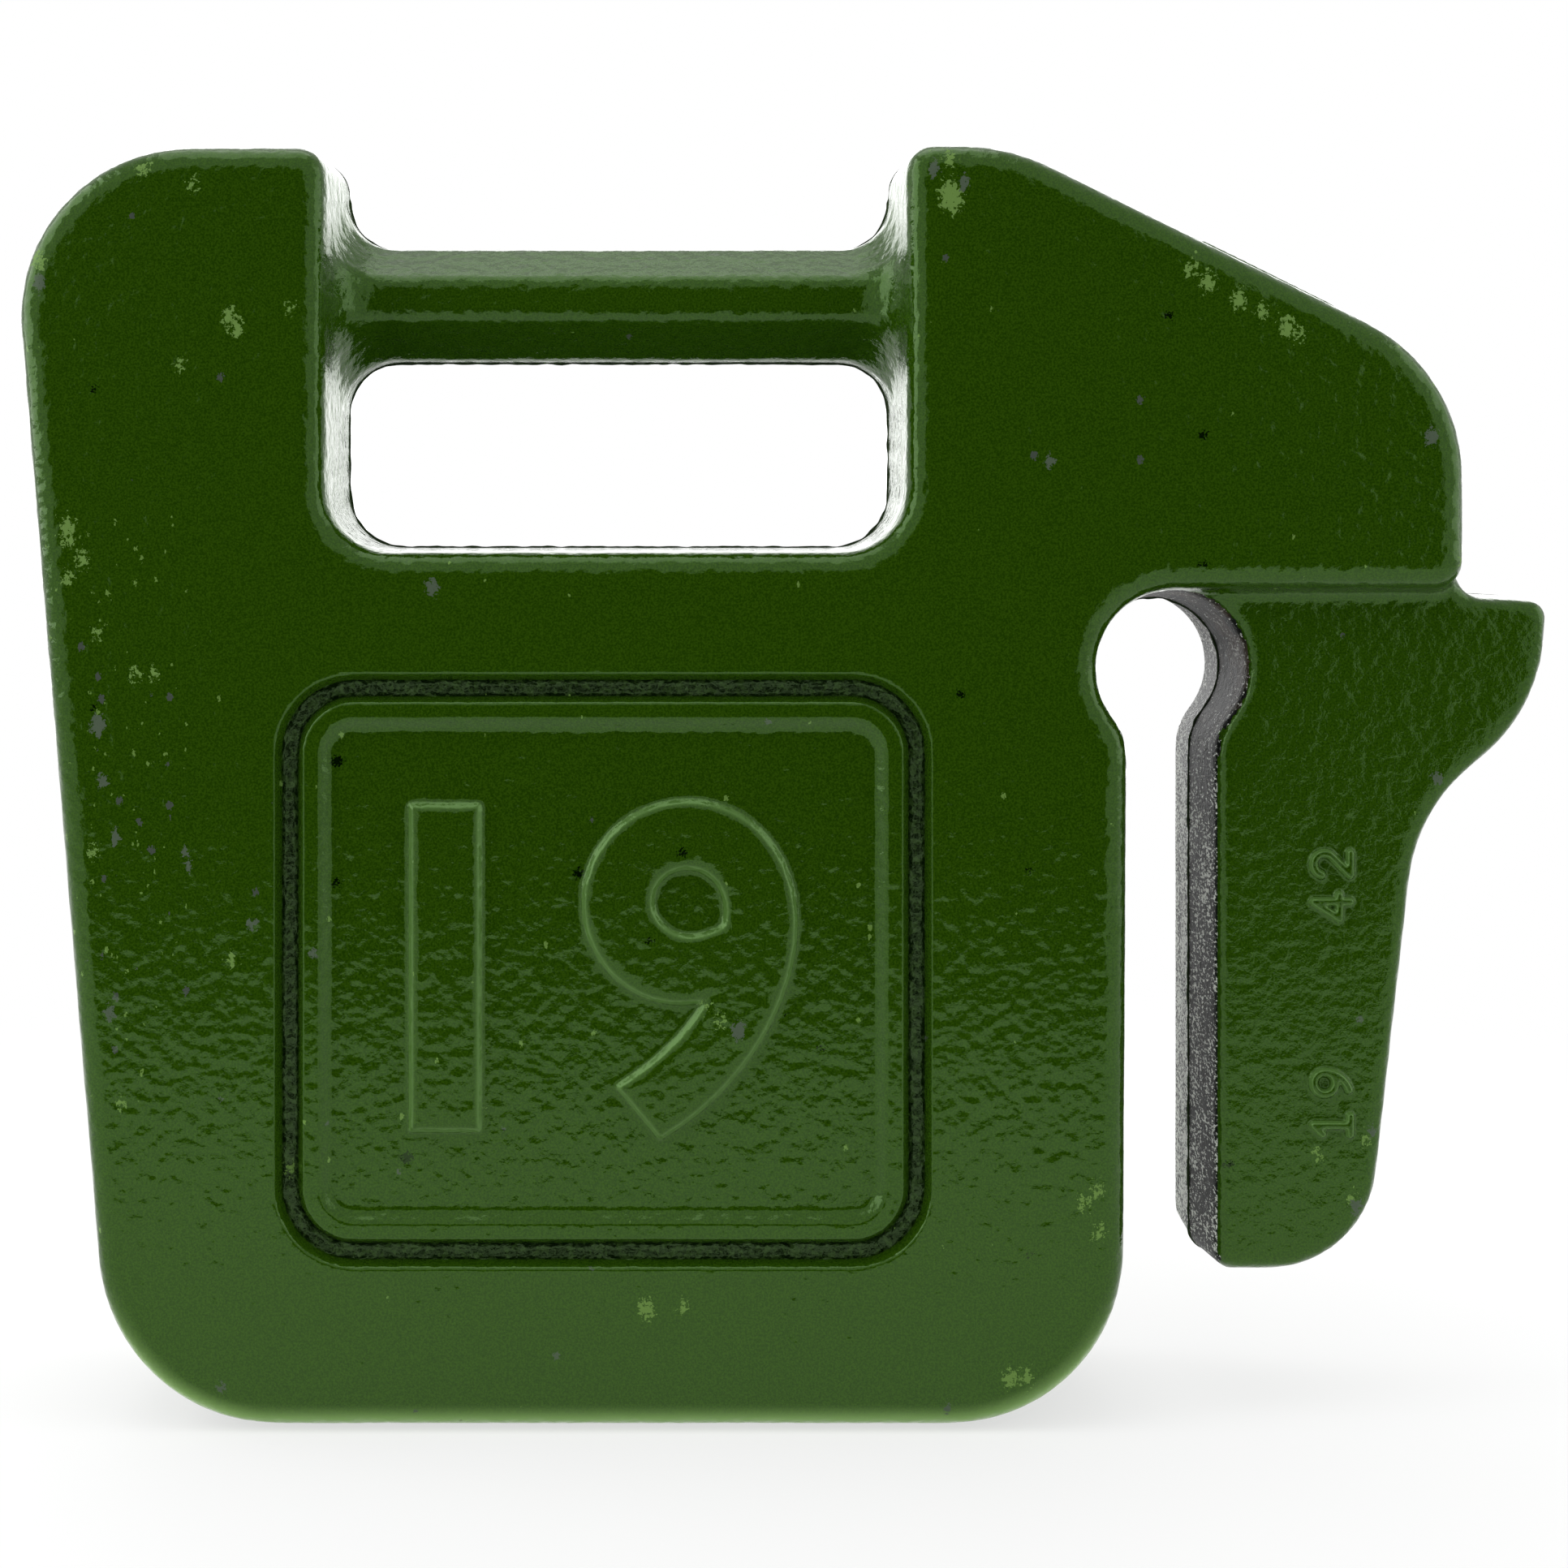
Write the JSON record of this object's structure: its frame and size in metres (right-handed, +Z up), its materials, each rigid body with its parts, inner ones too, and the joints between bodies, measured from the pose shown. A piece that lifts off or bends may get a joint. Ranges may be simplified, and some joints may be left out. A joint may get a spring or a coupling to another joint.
{
  "type": "suitcase weight",
  "caption": "Suitcase-style cast iron ballast weight for a tractor: a thick slab with a hand grip, a framed panel and a keyhole slot beside a hook arm.",
  "frame": {"origin": "on the ground, under the middle of the casting's length and thickness, at the flat strip ground along its foot", "axes": "+X towards the hook arm, +Y through the thickness away from the framed panel, +Z up towards the hand grip"},
  "size_m": [0.294, 0.054, 0.245],
  "materials": {
    "green_enamel": "gloss dark green enamel over cast iron, chipped and scuffed"
  },
  "bodies": {
    "root": {"weight_casting": "green_enamel"}
  },
  "joints": []
}
